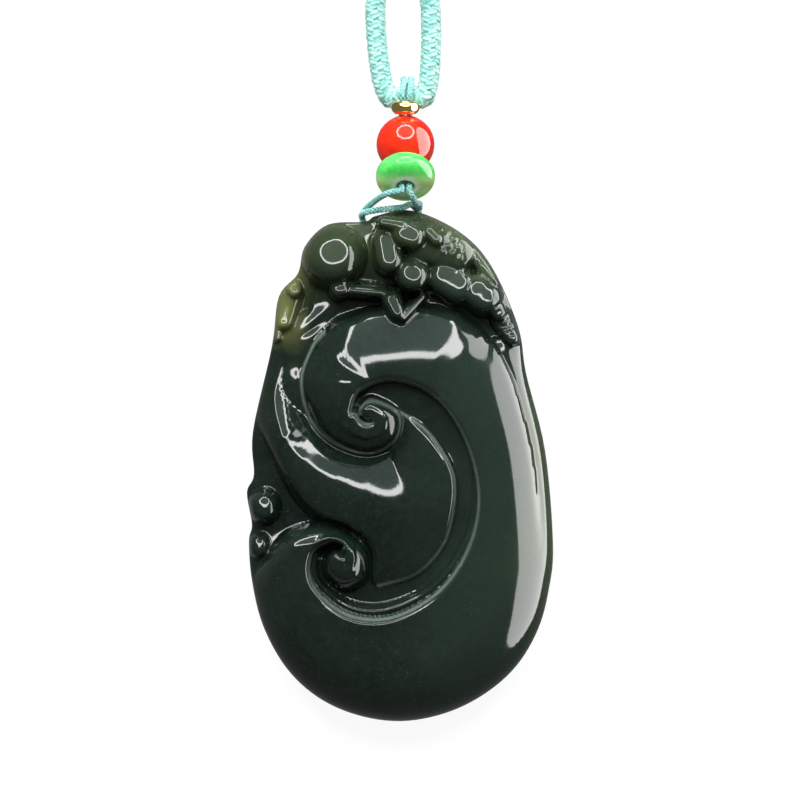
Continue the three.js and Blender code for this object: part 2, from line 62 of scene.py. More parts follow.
def makeCamera(settings):
    data = bpy.data.cameras.new("camera")
    data.sensor_fit = "HORIZONTAL"
    data.sensor_width = settings["sensor"]
    data.lens = settings["sensor"] * settings["distance"] / settings["viewSide"]
    data.clip_start = settings["clipStart"] * mm
    holder = bpy.data.objects.new("camera", data)
    holder.location = (Vector(settings["centre"]) + Vector((0, 0, settings["distance"]))) * mm
    scene.collection.objects.link(holder)
    scene.camera = holder


makeCamera(camera)
print("camera placed")


# shader helpers: a socket that takes part in sums, and one way to add any node
class Wire:
    def __init__(self, tree, socket):
        self.tree = tree
        self.socket = socket

    def add(self, kind, settings=None, inputs=None, output=0):
        node = self.tree.nodes.new("ShaderNode" + kind)
        for name, value in (settings or {}).items():
            if name == "stops":
                for k, (place, colour) in enumerate(value):
                    stop = node.color_ramp.elements[k] if k < 2 else node.color_ramp.elements.new(place)
                    stop.position = place
                    stop.color = (*colour, 1) if isinstance(colour, tuple) else (colour, colour, colour, 1)
            else:
                setattr(node, name, value)
        for name, value in (inputs or {}).items():
            if isinstance(value, Wire):
                self.tree.links.new(value.socket, node.inputs[name])
            else:
                node.inputs[name].default_value = value
        return Wire(self.tree, node.outputs[output])

    def maths(self, operation, first, second):
        return self.add("Math", {"operation": operation}, {0: first, 1: second})

    def __add__(self, other):
        return self.maths("ADD", self, other)

    def __sub__(self, other):
        return self.maths("SUBTRACT", self, other)

    def __rsub__(self, other):
        return self.maths("SUBTRACT", other, self)

    def __mul__(self, other):
        return self.maths("MULTIPLY", self, other)

    __radd__ = __add__
    __rmul__ = __mul__

    def clamped(self, low=0.0, high=1.0):
        return self.add("Clamp", None, {0: self, 1: low, 2: high})

    def between(self, low, high):
        return self.add("MapRange", {"interpolation_type": "SMOOTHSTEP"}, {0: self, 1: low, 2: high})

    def mixed(self, first, second):
        # first where this mask is 0, second where it is 1
        ready = [(*c, 1) if isinstance(c, tuple) else c for c in (first, second)]
        return self.add("Mix", {"data_type": "RGBA"}, {0: self, 6: ready[0], 7: ready[1]}, 2)


def newMaterial(name):
    material = bpy.data.materials.new(name)
    material.use_nodes = True
    tree = material.node_tree
    shader = tree.nodes["Principled BSDF"]
    return material, shader, Wire(tree, None)


def setSockets(shader, start, sockets):
    for name, value in sockets.items():
        if isinstance(value, Wire):
            start.tree.links.new(value.socket, shader.inputs[name])
        else:
            shader.inputs[name].default_value = value


def noise(start, where, scale, detail, roughness, distortion=0.0):
    inputs = {"Vector": where, "Scale": scale, "Detail": detail, "Roughness": roughness,
              "Distortion": distortion}
    return start.add("TexNoise", None, inputs)


def bump(start, height, distance, strength):
    return start.add("Bump", None, {"Height": height, "Distance": distance, "Strength": strength})


# mesh and curve helpers
def newPiece(name, mesh, material, slot, *nodes):
    mesh.name = name
    mesh.materials.clear()
    mesh.materials.append(material)
    piece = bpy.data.objects.new(name, mesh)
    scene.collection.objects.link(piece)
    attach(piece, "root")
    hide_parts(*nodes)
    return piece


def gridMesh(name, columns, rows, shape, closed=False):
    # a plain grid whose points go to shape(across, along), both 0 to 1; closed ways are merged
    made = bmesh.new()
    made.loops.layers.uv.new("run")
    bmesh.ops.create_grid(made, x_segments=columns, y_segments=rows, size=0.5, calc_uvs=True)
    mesh = bpy.data.meshes.new(name)
    made.to_mesh(mesh)
    made.free()
    flat = np.empty(len(mesh.vertices) * 3)
    mesh.vertices.foreach_get("co", flat)
    flat = flat.reshape(-1, 3) + 0.5
    points, values = shape(flat[:, 0], flat[:, 1])
    mesh.vertices.foreach_set("co", (points * mm).ravel())
    for label, value in values.items():
        mesh.attributes.new(label, "FLOAT", "POINT").data.foreach_set("value", value)
    if closed:
        made = bmesh.new()
        made.from_mesh(mesh)
        rim = [v for v in made.verts if v.is_boundary]
        bmesh.ops.remove_doubles(made, verts=rim, dist=touching)
        bmesh.ops.recalc_face_normals(made, faces=made.faces)
        made.to_mesh(mesh)
        made.free()
    mesh.shade_smooth()
    return mesh


def smoothCurve(points, count, piecesPerSpan=24):
    # centripetal curve through the points, as evenly spaced points
    p = np.array(points, float)
    p = np.vstack([2 * p[0] - p[1], p, 2 * p[-1] - p[-2]])
    spans = []
    for a, b, c, d in zip(p[:-3], p[1:-2], p[2:-1], p[3:]):
        ta, tb, tc = [max(np.linalg.norm(q - r), 1e-9) ** 0.5 for q, r in ((b, a), (c, b), (d, c))]
        wayB = ((b - a) / ta - (c - a) / (ta + tb) + (c - b) / tb) * tb
        wayC = ((c - b) / tb - (d - b) / (tb + tc) + (d - c) / tc) * tb
        t = np.linspace(0, 1, piecesPerSpan, endpoint=False)[:, None]
        spans.append(b + t * wayB + t * t * (3 * (c - b) - 2 * wayB - wayC)
                     + t ** 3 * (2 * (b - c) + wayB + wayC))
    line = np.vstack(spans + [p[-2:-1]])
    run = np.concatenate([[0], np.cumsum(np.linalg.norm(np.diff(line, axis=0), axis=1))])
    even = np.linspace(0, run[-1], count)
    return np.stack([np.interp(even, run, line[:, k]) for k in range(3)], 1)


def lengthOf(line):
    return float(np.linalg.norm(np.diff(line, axis=0), axis=1).sum())


def carriedFrames(line, closed):
    # unit vectors along and across the line, carried along it without twist
    way = np.gradient(line, axis=0)
    if closed:
        way[0] = way[-1] = line[1] - line[-2]
    way /= np.linalg.norm(way, axis=1)[:, None]
    side = np.empty_like(line)
    side[0] = np.cross(way[0], (0, 0, 1) if abs(way[0][2]) < 0.9 else (1, 0, 0))
    for k in range(len(line)):
        last = side[max(k - 1, 0)]
        side[k] = last - way[k] * last.dot(way[k])
        side[k] /= np.linalg.norm(side[k])
    if closed:
        drift = math.atan2(np.cross(side[-1], side[0]).dot(way[0]), side[-1].dot(side[0]))
        turn = drift * np.linspace(0, 1, len(line))[:, None]
        side = side * np.cos(turn) + np.cross(way, side) * np.sin(turn)
    return way, side, np.cross(way, side)


def braidMesh(name, line, closed, braid):
    # round braid: half the strands wind each way, passing over and under each other
    way, side, up = carriedFrames(line, closed)
    count = len(line)
    turns = round(lengthOf(line) / braid["pitch"])
    lean = math.atan(2 * math.pi * braid["middle"] * turns / lengthOf(line))
    half = braid["strands"] // 2
    goldenShare = 0.618  # gives neighbouring strands different shades
    joined = bmesh.new()
    for strand in range(braid["strands"]):
        hand = 1 if strand < half else -1
        start = 2 * math.pi * strand / half

        def shape(around, along):
            at = np.rint(along * (count - 1)).astype(int)
            turn = 2 * math.pi * turns * along
            angle = (start + hand * turn)[:, None]
            weave = hand * np.cos(half * turn)
            out = side[at] * np.cos(angle) + up[at] * np.sin(angle)
            across = hand * (up[at] * np.cos(angle) - side[at] * np.sin(angle)) * math.cos(lean) \
                - way[at] * math.sin(lean)
            spin = 2 * math.pi * around
            rise = braid["weave"] * weave + braid["high"] * np.sin(spin)
            points = (line[at] + out * (braid["middle"] + rise)[:, None]
                      + across * (braid["wide"] * np.cos(spin))[:, None])
            # painted light: how far the surface stands out, used only to paint highlight on the bulges and
            # shade between the strands
            depth = 0.5 + 0.5 * rise / (braid["weave"] + braid["high"])
            shade = np.full(len(at), (strand * goldenShare) % 1.0)
            return points, {"depth": depth, "shade": shade, "length": along * lengthOf(line)}

        tube = gridMesh(name + str(strand), braid["sides"], count - 1, shape, True)
        joined.from_mesh(tube)
        bpy.data.meshes.remove(tube)
    if not closed:
        bmesh.ops.holes_fill(joined, edges=[e for e in joined.edges if e.is_boundary])
    mesh = bpy.data.meshes.new(name)
    joined.to_mesh(mesh)
    joined.free()
    mesh.shade_smooth()
    return mesh


# silky yarn: painted highlight where the strands bulge and painted shade between them, fine filaments along
# each
yarn = {
    "blotchScale": 900.0, "blotchDetail": 4.0, "blotchRoughness": 0.65, "paintedShadingRange": (0.2, 1.0),
    "paintedShadingShare": 0.62, "blotchShare": 1.1, "strandShare": 0.12, "places": (0.0, 0.42, 0.85),
    "filamentRise": 0.5, "blotchRise": 0.8, "bumpStrength": 0.7, "roughness": 0.62, "specular": 0.35,
    "sheen": 0.35, "sheenRoughness": 0.4,
}


def cordMaterial(name, colours, thread):
    material, shader, start = newMaterial(name)
    depth = start.add("Attribute", {"attribute_name": "depth"}, None, 2)
    shade = start.add("Attribute", {"attribute_name": "shade"}, None, 2)
    length = start.add("Attribute", {"attribute_name": "length"}, None, 2)
    where = start.add("TexCoord", None, None, 3)
    blotch = noise(start, where, yarn["blotchScale"], yarn["blotchDetail"], yarn["blotchRoughness"])
    around = start.add("SeparateXYZ", None, {0: start.add("UVMap", {"uv_map": "run"})}, 0)
    winding = around * (2 * math.pi * thread["filaments"]) + length * thread["twist"]
    filament = start.maths("SINE", winding, 0.0)
    # painted light: the depth attribute makes the strands pale where they bulge and dark between them; deep
    # and pale are these painted shade and highlight ends, mixed with the yarn's own blotches and strand
    # tones
    tone = (depth.between(*yarn["paintedShadingRange"]) * yarn["paintedShadingShare"] + (blotch - 0.5) * yarn["blotchShare"]
            + filament * thread["contrast"] + (shade - 0.5) * yarn["strandShare"]).clamped()
    stops = list(zip(yarn["places"], (colours["deep"], colours["middle"], colours["pale"])))
    colour = start.add("ValToRGB", {"stops": stops}, {0: tone})
    hills = filament * yarn["filamentRise"] + blotch * yarn["blotchRise"]
    setSockets(shader, start, {
        "Base Color": colour, "Roughness": yarn["roughness"], "Specular IOR Level": yarn["specular"],
        "Sheen Weight": yarn["sheen"], "Sheen Roughness": yarn["sheenRoughness"],
        "Normal": bump(start, hills, thread["bump"] * mm, yarn["bumpStrength"]),
    })
    return material


# the jade is drawn in small steps from its middle; places on the string go up from its top end
jadeLow, jadeHigh = nodeBox("jade_pendant")
coilLow, coilHigh = nodeBox("necklace_coil")
jadeSize, drawnSize = np.array((32.2, 53.8)), np.array((307, 512))
step = jadeSize / drawnSize


def spot(x, y, z):
    # steps from the jade's middle, and a height in millimetres
    return np.array((x * step[0], y * step[1], z))


def above(x, rise, z):
    # the same, but in millimetres up from the jade's top end
    return np.array((x * step[0], jadeHigh[1] + rise, z))


# the two cords first: the thick one is a closed loop, the thin one doubles through the beads
necklace = {
    "diameter": 2.2, "bight": above(7, 12.36, 1.1), "run": 12.3,
    "turnsAcross": 3.7, "upperTurns": 3, "climb": 40.0, "pointsPerTurn": 24,
    "left": [(-3.45, 1.0), (-3.4, 0.7), (-3.25, 0.46), (-2.95, 0.24), (-2.5, 0.06), (-1.7, -0.05)],
    "right": [(2.4, 1.0), (2.45, 0.7), (2.5, 0.46), (2.4, 0.24), (2.15, 0.06), (1.6, -0.05)],
    "joinAngle": -118.0, "leaveAngle": -62.0,
    "braid": {"strands": 8, "pitch": 4.4, "middle": 0.85, "weave": 0.06, "high": 0.19, "wide": 0.60,
              "sides": 6},
    "measurePoints": 4000, "samplesPerPitch": 15, "pathEvery": 4,
    # deep and pale double as painted shade between the strands and painted highlight on their bulges
    "colours": {"deep": (0.05, 0.30, 0.26), "middle": (0.22, 0.58, 0.51), "pale": (0.56, 0.86, 0.80)},
    "thread": {"filaments": 6, "twist": 7.0, "bump": 0.09, "contrast": 0.16},
}


def necklaceLine(settings):
    bight = settings["bight"]
    centre = (coilLow + coilHigh) / 2
    radius = settings["diameter"] / 2
    outer = (coilHigh[0] - coilLow[0]) / 2 - radius
    inner = outer - settings["diameter"] * settings["turnsAcross"]
    low, high = bight[2], coilHigh[2] - radius

    def run(points):
        return [bight + (x, up * settings["run"], 0) for x, up in points]

    def winding(fromAngle, turns, fromRadius, toRadius, height):
        count = int(turns * settings["pointsPerTurn"])
        ring = []
        for k in range(count + 1):
            share = k / count
            angle = math.radians(fromAngle) - 2 * math.pi * turns * share
            reach = fromRadius + (toRadius - fromRadius) * share
            ring.append((centre[0] + reach * math.cos(angle), centre[1] + reach * math.sin(angle), height))
        return ring

    turns = settings["turnsAcross"]
    join, leave = settings["joinAngle"], settings["leaveAngle"]
    climbed = join - 360.0 * turns - settings["climb"]
    outward = ((climbed - leave) % 360.0) / 360.0 + settings["upperTurns"]
    points = [tuple(bight), *run(settings["left"])[::-1]]
    points += winding(join, turns, outer, inner, low)
    points += winding(climbed, outward, inner, outer, high)
    points += run(settings["right"]) + [tuple(bight)]
    return points


necklacePoints = necklaceLine(necklace)
necklaceLength = lengthOf(smoothCurve(necklacePoints, necklace["measurePoints"]))
braidTurns = round(necklaceLength / necklace["braid"]["pitch"])
necklacePath = smoothCurve(necklacePoints, braidTurns * necklace["samplesPerPitch"] + 1)
necklacePath[:, 2] = np.maximum(necklacePath[:, 2], necklace["bight"][2])
necklaceCord = newPiece("necklace_cord_braid", braidMesh("necklace", necklacePath, True, necklace["braid"]),
                        cordMaterial("mint_yarn", necklace["colours"], necklace["thread"]),
                        "necklace_cord", "necklace_cord", "necklace_coil")
print("necklace cord made, millimetres long:", round(necklaceLength, 1))

# the thin cord comes down through the beads, goes twice through the jade and back up
hanging = {
    "diameter": 0.72, "strandPitch": 0.78, "gap": 0.25, "wrapGap": 0.05, "wrapAngles": (-25, 12, 50),
    "redPlace": (5, 6.9, 3.05), "redAngle": -16.0, "redDiameter": 6.1, "redEnd": 0.4,
    "greenAngle": -42.0, "greenDiameter": 6.2, "greenThickness": 3.2, "greenBore": 2.0,
    "goldAngle": 6.0, "goldDiameter": 2.96, "goldThickness": 1.8, "goldBore": 2.1,
    "beadBore": 2.5, "boreShare": 0.48, "boreGap": 0.05, "tunnelHeight": 2.3,
    "rightRun": [(11.5, 1.4, 7.1), (15.5, 0.67, 5.6), (19, 0.62, 3.9), (19, 0.25, 2.9)],
    "across": [(-39, -0.65, 3), (-36, -0.3, 4.2), (-24, -0.05, 5), (-10, 0.1, 5.1), (2, 0.25, 4.5),
               (11, 0.56, 2.8)],
    "leftRun": [(-38.5, -0.54, 2), (-35, 0.1, 2.6), (-28, 0.72, 4.4), (-20, 1.3, 6.4), (-10, 1.77, 7.6)],
    "braid": {"strands": 8, "pitch": 1.7, "middle": 0.22, "weave": 0.04, "high": 0.1, "wide": 0.15,
              "sides": 5},
    "measurePoints": 2000, "samplesPerPitch": 18,
    # deep and pale double as painted shade between the strands and painted highlight on their bulges
    "colours": {"deep": (0.015, 0.13, 0.115), "middle": (0.10, 0.40, 0.36), "pale": (0.50, 0.80, 0.76)},
    "thread": {"filaments": 3, "twist": 24.0, "bump": 0.02, "contrast": 0.12},
}
tunnelRoute = [(18, 262), (18, 250), (14, 235), (-8, 225), (-31, 231), (-37, 242), (-38, 256)]


def beadAxis(degrees):
    angle = math.radians(abs(degrees))
    return np.array((0, math.copysign(math.cos(angle), degrees), math.sin(angle)))


def beadCentre(settings, name):
    red = above(*settings["redPlace"])
    if name == "red":
        return red
    mouth = math.sqrt((settings["redDiameter"] / 2) ** 2 - (settings["beadBore"] / 2) ** 2)
    reach = mouth + settings["gap"] + settings[name + "Thickness"] / 2
    return red + beadAxis(settings[name + "Angle"]) * reach


def hangingLine(settings):
    half = settings["strandPitch"] / 2
    bight = necklace["bight"]
    wrap = necklace["diameter"] / 2 + settings["wrapGap"] + settings["diameter"] / 2

    def strandPoint(name, distance, lift, side):
        axis = beadAxis(settings[name + "Angle"])
        bore = settings.get(name + "Bore", settings["beadBore"])
        room = settings["boreShare"] * bore - settings["diameter"] / 2 - settings["boreGap"]
        slack = math.sqrt(room ** 2 - half ** 2)
        upward = np.array((0, -math.copysign(axis[2], axis[1]), abs(axis[1])))
        return beadCentre(settings, name) + axis * distance + upward * lift * slack + (side * half, 0, 0)

    def wrapPoints(side):
        angles = [math.radians(a) for a in settings["wrapAngles"]]
        return [bight + (side * half, wrap * math.cos(a), wrap * math.sin(a)) for a in angles]

    def beadPoints(side):
        goldEnd, greenEnd = settings["goldThickness"] / 2, settings["greenThickness"] / 2
        redEnd, past = settings["redEnd"] * settings["redDiameter"], settings["diameter"] / 2
        stops = [("gold", goldEnd + past, 0.3), ("gold", 0, -0.6), ("gold", -goldEnd, -1),
                 ("red", -redEnd, 0.5), ("red", 0, 0.5), ("red", redEnd, 0.6),
                 ("green", -greenEnd / 2, -0.6), ("green", greenEnd, 0), ("green", greenEnd + past, 0)]
        return [strandPoint(name, distance, lift, side) for name, distance, lift in stops]

    def tunnel(lift):
        return [spot(x, y, settings["tunnelHeight"] + lift) for x, y in tunnelRoute[1:-1]]

    rightRun, across, leftRun = [[above(*place) for place in settings[name]]
                                 for name in ("rightRun", "across", "leftRun")]
    return (wrapPoints(1) + beadPoints(1) + rightRun + tunnel(half) + across + tunnel(-half) + leftRun
            + beadPoints(-1)[::-1] + wrapPoints(-1)[::-1])


hangingPoints = hangingLine(hanging)
hangingLength = lengthOf(smoothCurve(hangingPoints, hanging["measurePoints"]))
hangingTurns = round(hangingLength / hanging["braid"]["pitch"])
hangingPath = smoothCurve(hangingPoints, hangingTurns * hanging["samplesPerPitch"] + 1)
newPiece("hanging_loop_braid", braidMesh("hanging", hangingPath, False, hanging["braid"]),
         cordMaterial("teal_yarn", hanging["colours"], hanging["thread"]), "thin_cord", "hanging_loop")
print("hanging loop made, millimetres long:", round(lengthOf(hangingPath), 1))


# beads: a rounded half profile, spun round the bore; their colours and finishes
beads = {
    "softEdge": 0.01, "rows": 40, "steps": 96, "merge": 1e-5,
    "red": {"dark": (0.70, 0.014, 0.005), "bright": (0.90, 0.042, 0.012), "cloudScale": 260.0,
            "veinScale": 900.0, "ior": 1.41,
            "subsurface": 0.25, "subsurfaceRadius": (0.9, 0.15, 0.05), "subsurfaceScale": 1.2},
    "green": {"upper": (0.055, 0.58, 0.095), "lower": (0.45, 0.76, 0.33), "streak": (0.40, 0.45, 0.12),
              "halo": (0.70, 0.88, 0.66), "fleck": (0.62, 0.88, 0.50), "upperFrom": (0.0294, 0.0306),
              "streakStart": (0.0283, 0.0290), "streakEnd": (0.0290, 0.0299), "haloReach": (0.0011, 0.0018),
              "patchShare": 0.8, "cloudScale": 330.0, "fleckScale": 1400.0, "ior": 1.41,
              "subsurface": 0.8, "subsurfaceRadius": (0.5, 1.0, 0.4), "subsurfaceScale": 2.0},
    "gold": {"dark": (0.83, 0.56, 0.17), "bright": (0.93, 0.70, 0.30), "wearScale": 2200.0,
             "bump": 0.004, "bumpStrength": 0.4},
}


def beadMesh(name, diameter, thickness, bore, fullness, centre, axis):
    start = math.asin((bore / diameter) ** (1 / fullness))
    face = thickness / 2 * math.cos(start) ** fullness
    softEdge = beads["softEdge"] * diameter
    profile = [(bore / 2, -face + softEdge), (bore / 2 + softEdge, -face)]
    rows = beads["rows"]
    for k in range(1, rows):
        angle = start + (math.pi - 2 * start) * k / rows
        height = -math.copysign(abs(math.cos(angle)) ** fullness, math.cos(angle)) * thickness / 2
        reach = max(diameter / 2 * math.sin(angle) ** fullness, bore / 2 + softEdge)
        profile.append((reach, height))
    profile += [(bore / 2 + softEdge, face), (bore / 2, face - softEdge), (bore / 2, -face + softEdge)]
    made = bmesh.new()
    rim = [made.verts.new((x, 0, z)) for x, z in profile[:-1]]
    edges = [made.edges.new((a, b)) for a, b in zip(rim, rim[1:] + rim[:1])]
    bmesh.ops.spin(made, geom=rim + edges, cent=(0, 0, 0), axis=(0, 0, 1), angle=2 * math.pi,
                   steps=beads["steps"], use_merge=True)
    bmesh.ops.remove_doubles(made, verts=made.verts, dist=beads["merge"])
    turn = Vector((0, 0, 1)).rotation_difference(Vector(axis))
    bmesh.ops.rotate(made, verts=made.verts, cent=(0, 0, 0), matrix=turn.to_matrix())
    bmesh.ops.translate(made, verts=made.verts, vec=Vector(centre))
    bmesh.ops.scale(made, verts=made.verts, vec=(mm, mm, mm))
    bmesh.ops.recalc_face_normals(made, faces=made.faces)
    mesh = bpy.data.meshes.new(name)
    made.to_mesh(mesh)
    made.free()
    mesh.shade_smooth()
    return mesh


def redMaterial(settings):
    # deep red with brighter clouds
    material, shader, start = newMaterial("red_agate")
    where = start.add("TexCoord", None, None, 3)
    clouds = noise(start, where, settings["cloudScale"], 4.0, 0.55, 0.4)
    veins = noise(start, where, settings["veinScale"], 5.0, 0.6)
    mask = (clouds.between(0.35, 0.7) * 0.75 + (veins - 0.5) * 0.35).clamped()
    setSockets(shader, start, {
        "Base Color": mask.mixed(settings["dark"], settings["bright"]),
        "Roughness": 0.045 + veins * 0.03, "IOR": settings["ior"],
        "Subsurface Weight": settings["subsurface"], "Subsurface Radius": settings["subsurfaceRadius"],
        "Subsurface Scale": settings["subsurfaceScale"] * mm,
    })
    return material


def greenMaterial(settings):
    # bright green above, a warm streak across, paler towards the hole; the pale reaches into the bore as
    # painted light on its shaded wall
    material, shader, start = newMaterial("green_agate")
    where = start.add("TexCoord", None, None, 3)
    split = start.add("SeparateXYZ", None, {0: where}, 1)
    clouds = noise(start, where, settings["cloudScale"], 4.0, 0.6, 0.8)
    height = split + (clouds - 0.5) * 0.0014
    colour = height.between(*settings["upperFrom"]).mixed(settings["lower"], settings["upper"])
    streak = height.between(*settings["streakStart"]) * (1 - height.between(*settings["streakEnd"]))
    colour = (streak * settings["patchShare"]).mixed(colour, settings["streak"])
    mouth = beadCentre(hanging, "green") + beadAxis(hanging["greenAngle"]) * hanging["greenThickness"] / 2
    # painted light: the pale round the hole also lightens the shaded bore wall near its mouth
    halo = start.add("VectorMath", {"operation": "DISTANCE"}, {0: where, 1: tuple(mouth * mm)}, 1)
    halo = 1 - (halo + (clouds - 0.5) * 0.0006).between(*settings["haloReach"])
    colour = (halo * settings["patchShare"]).mixed(colour, settings["halo"])
    fine = noise(start, where, settings["fleckScale"], 4.0, 0.6)
    setSockets(shader, start, {
        "Base Color": (fine.between(0.3, 0.8) * 0.2).mixed(colour, settings["fleck"]),
        "Roughness": 0.05 + fine * 0.04, "IOR": settings["ior"],
        "Subsurface Weight": settings["subsurface"], "Subsurface Radius": settings["subsurfaceRadius"],
        "Subsurface Scale": settings["subsurfaceScale"] * mm,
    })
    return material


def goldMaterial(settings):
    # polished metal with faint wear
    material, shader, start = newMaterial("gold")
    where = start.add("TexCoord", None, None, 3)
    wear = noise(start, where, settings["wearScale"], 4.0, 0.6)
    setSockets(shader, start, {
        "Base Color": wear.between(0.3, 0.8).mixed(settings["dark"], settings["bright"]),
        "Metallic": 1.0, "Roughness": 0.08 + wear * 0.12,
        "Normal": bump(start, wear, settings["bump"] * mm, settings["bumpStrength"]),
    })
    return material


# node, slot, fullness of the profile, finish
beadForms = {
    "red": ("red_bead", "red_agate", 1.0, redMaterial),
    "green": ("green_bead", "green_agate", 0.8, greenMaterial),
    "gold": ("gold_bead", "gold", 0.85, goldMaterial),
}
for bead, (node, slot, fullness, finish) in beadForms.items():
    bore = hanging.get(bead + "Bore", hanging["beadBore"])
    thickness = hanging.get(bead + "Thickness", hanging[bead + "Diameter"])
    beadPiece = beadMesh(bead, hanging[bead + "Diameter"], thickness, bore, fullness,
                         beadCentre(hanging, bead), beadAxis(hanging[bead + "Angle"]))
    newPiece(node + "_drilled", beadPiece, finish(beads[bead]), slot, node)
print("beads made")


# the jade: millimetres here, apart from shares, slopes, powers and counts
carving = {
    "groundSpread": 1.0, "groundPower": 1.6,
    "sag": (0.9, 0.5), "sagReach": (16.0, 27.0), "bandShoulder": 0.55, "sideStep": 1.3,
    "domeStep": 0.5, "domeFoot": 0.2, "domeNear": 5.0, "domeRounding": 11.0, "domeEase": 0.5,
    "waveShoulder": 0.6, "waveInner": 2.6, "waveRange": (0.5, 0.66), "outerSlope": 0.36, "leastRise": 0.15,
    "creaseDepth": 0.4, "creaseWidth": 0.4, "creaseStart": 0.15, "creaseEnd": 0.3,
    "rimHeight": 3.3, "edgeRounding": 3.6, "rightRounding": 3.0, "footRounding": 2.5,
    "sideFrom": 6.0, "footFrom": 4.0, "easeOver": 14.0,
    "capRound": 4.2, "capWiden": 0.85, "wallPower": 4.0, "lumpLean": 0.43, "leanEase": 0.05, "lumpEdge": 0.5,
    "lumpBlend": 0.12, "fineBlend": 0.06, "bodyBlend": 0.15, "topGap": 0.02, "scaleFade": 0.35,
    "highlightInset": 0.20, "highlightWidth": 0.13,
    "gridCells": 290, "rimShare": 0.12, "rimPieces": 24, "softenings": 3, "softenWithin": 0.93,
    "backRounding": 3.2, "backShares": [0.02, 0.07, 0.15, 0.27, 0.42, 0.6, 0.8, 1.0],
    "tunnelBore": 2.1, "tunnelPieces": 39, "tunnelSides": 24, "rimFrom": 0.72, "waveFrom": 0.36,
}
# how the forms change along their drawn lines: shares of the way along, then the values there
profiles = {
    "lipWidth": ([0.25, 0.45, 0.7, 0.85, 1], [0.01, 0.6, 1.25, 1, 0.3]),
    "lipHeight": ([0.25, 0.45, 0.7, 1], [0, 0.5, 1.3, 1]),
    "domeShoulder": ([0, 0.08, 0.28, 0.5], [0.55, 0.7, 2.4, 3.7]),
    "scrollShoulder": ([0, 0.08, 0.3, 0.6, 0.8], [0.6, 1.0, 2.8, 3.2, 2.0]),
    "crestHeight": ([0, 0.22, 0.32, 0.42, 0.5, 0.6, 1], [0.50, 0.585, 0.71, 0.85, 0.89, 0.91, 0.93]),
    "innerSlope": ([0, 0.46, 0.54, 0.62, 0.8, 1], [0.74, 0.74, 0.70, 0.55, 0.42, 0.42]),
    "innerRoll": ([0, 0.35, 0.5, 0.68, 1], [0.35, 0.5, 1.0, 3.6, 4.2]),
    "outerRoll": ([0, 0.35, 0.6, 1], [0.5, 0.8, 1.6, 2.2]),
}
jadeThickness = jadeHigh[2] - jadeLow[2]


def drawnLine(points, closed=False, piecesPerSpan=6):
    p = np.array(points, float) * step
    p = np.vstack([p[-1:], p, p[:2]]) if closed else np.vstack([p[:1], p, p[-1:]])
    spans = []
    for a, b, c, d in zip(p[:-3], p[1:-2], p[2:-1], p[3:]):
        t = np.linspace(0, 1, piecesPerSpan, endpoint=False)[:, None]
        spans.append(0.5 * (2 * b + (c - a) * t + (2 * a - 5 * b + 4 * c - d) * t * t
                            + (3 * b - a - 3 * c + d) * t ** 3))
    return np.vstack(spans + [p[-2:-1]])


# its lines are drawn in steps from its middle, +X right and +Y to the top end
outline = drawnLine([
    (145, 13), (126, 90), (118, 137), (91, 198), (59, 232), (12, 253), (-24, 248), (-36, 242),
    (-73, 239), (-96, 217), (-103, 190), (-122, 167), (-129, 117), (-148, 32), (-147, -11),
    (-154, -29), (-149, -61), (-152, -78), (-149, -117), (-138, -162), (-115, -204), (-83, -234),
    (-43, -252), (1, -258), (45, -250), (84, -231), (116, -203), (138, -166), (149, -125), (153, -80),
], True)
# the scrolled band's inner edge, from the heart of the upper scroll to that of the lower one
bandEdge = drawnLine([
    (-48, 52), (-40, 71), (-10, 82), (26, 71), (55, 39), (73, -7), (75, -51), (61, -94),
    (32, -130), (-12, -152), (-54, -148), (-86, -120), (-87, -91), (-69, -79), (-58, -82),
])
# the dome's edge, from the heart of the upper scroll out and up the left side
domeEdge = drawnLine([
    (-30, 42), (-37, 43), (-43, 54), (-28, 65), (0, 50), (-4, 22), (-32, 8), (-68, 19),
    (-92, 44), (-101, 83), (-90, 117), (-78, 132),
])
domeTop = drawnLine([(-78, 132), (-61, 144), (-21, 156), (45, 155), (78, 137), (90, 124)])
sideCrease = drawnLine([(90, 124), (104, 102), (116, 73), (133, 7), (141, -66), (142, -102)])
scrollEdge = drawnLine([
    (-58, -90), (-65, -84), (-75, -92), (-77, -110), (-63, -124), (-46, -125), (-32, -114),
    (-32, -88), (-51, -68), (-82, -59), (-118, -72), (-146, -112),
])
# the cloud wave between the scrolls
waveRight = drawnLine([
    (-4, 56), (19, 41), (38, 22), (55, -12), (54, -50), (43, -84), (16, -112), (-22, -124),
])
waveLeft = drawnLine([(-146, 52), (-139, 29), (-122, -8), (-103, -39), (-84, -58)])
waveCrest = drawnLine([
    (-64, 160), (-99, 131), (-117, 104), (-129, 66), (-116, 24), (-97, 0), (-77, -18), (-50, -37),
    (-18, -50), (12, -49), (38, -31), (54, -6),
])
waveFoot = drawnLine([(-84, -60), (-53, -69), (-33, -91), (-30, -114), (-22, -124)])
# closed areas: the band's runs far past the stone's right side, the wave's past its left side
domeRim = np.vstack([domeEdge[round(len(domeEdge) * carving["rimFrom"]):], domeTop])
farOut = np.array([(-220, -112), (-220, -360), (220, -360), (220, 150)]) * step
bandArea = np.vstack([bandEdge, scrollEdge, farOut, domeTop[::-1], domeEdge[::-1]])
waveTop = np.array([(-58, 163), (-70, 167), (-89, 159), (-117, 139), (-125, 126), (-220, 124)]) * step
waveArea = np.vstack([np.array([(-220, 52)]) * step, waveLeft, waveFoot, waveRight[::-1],
                      domeEdge[round(len(domeEdge) * carving["waveFrom"]):], waveTop])

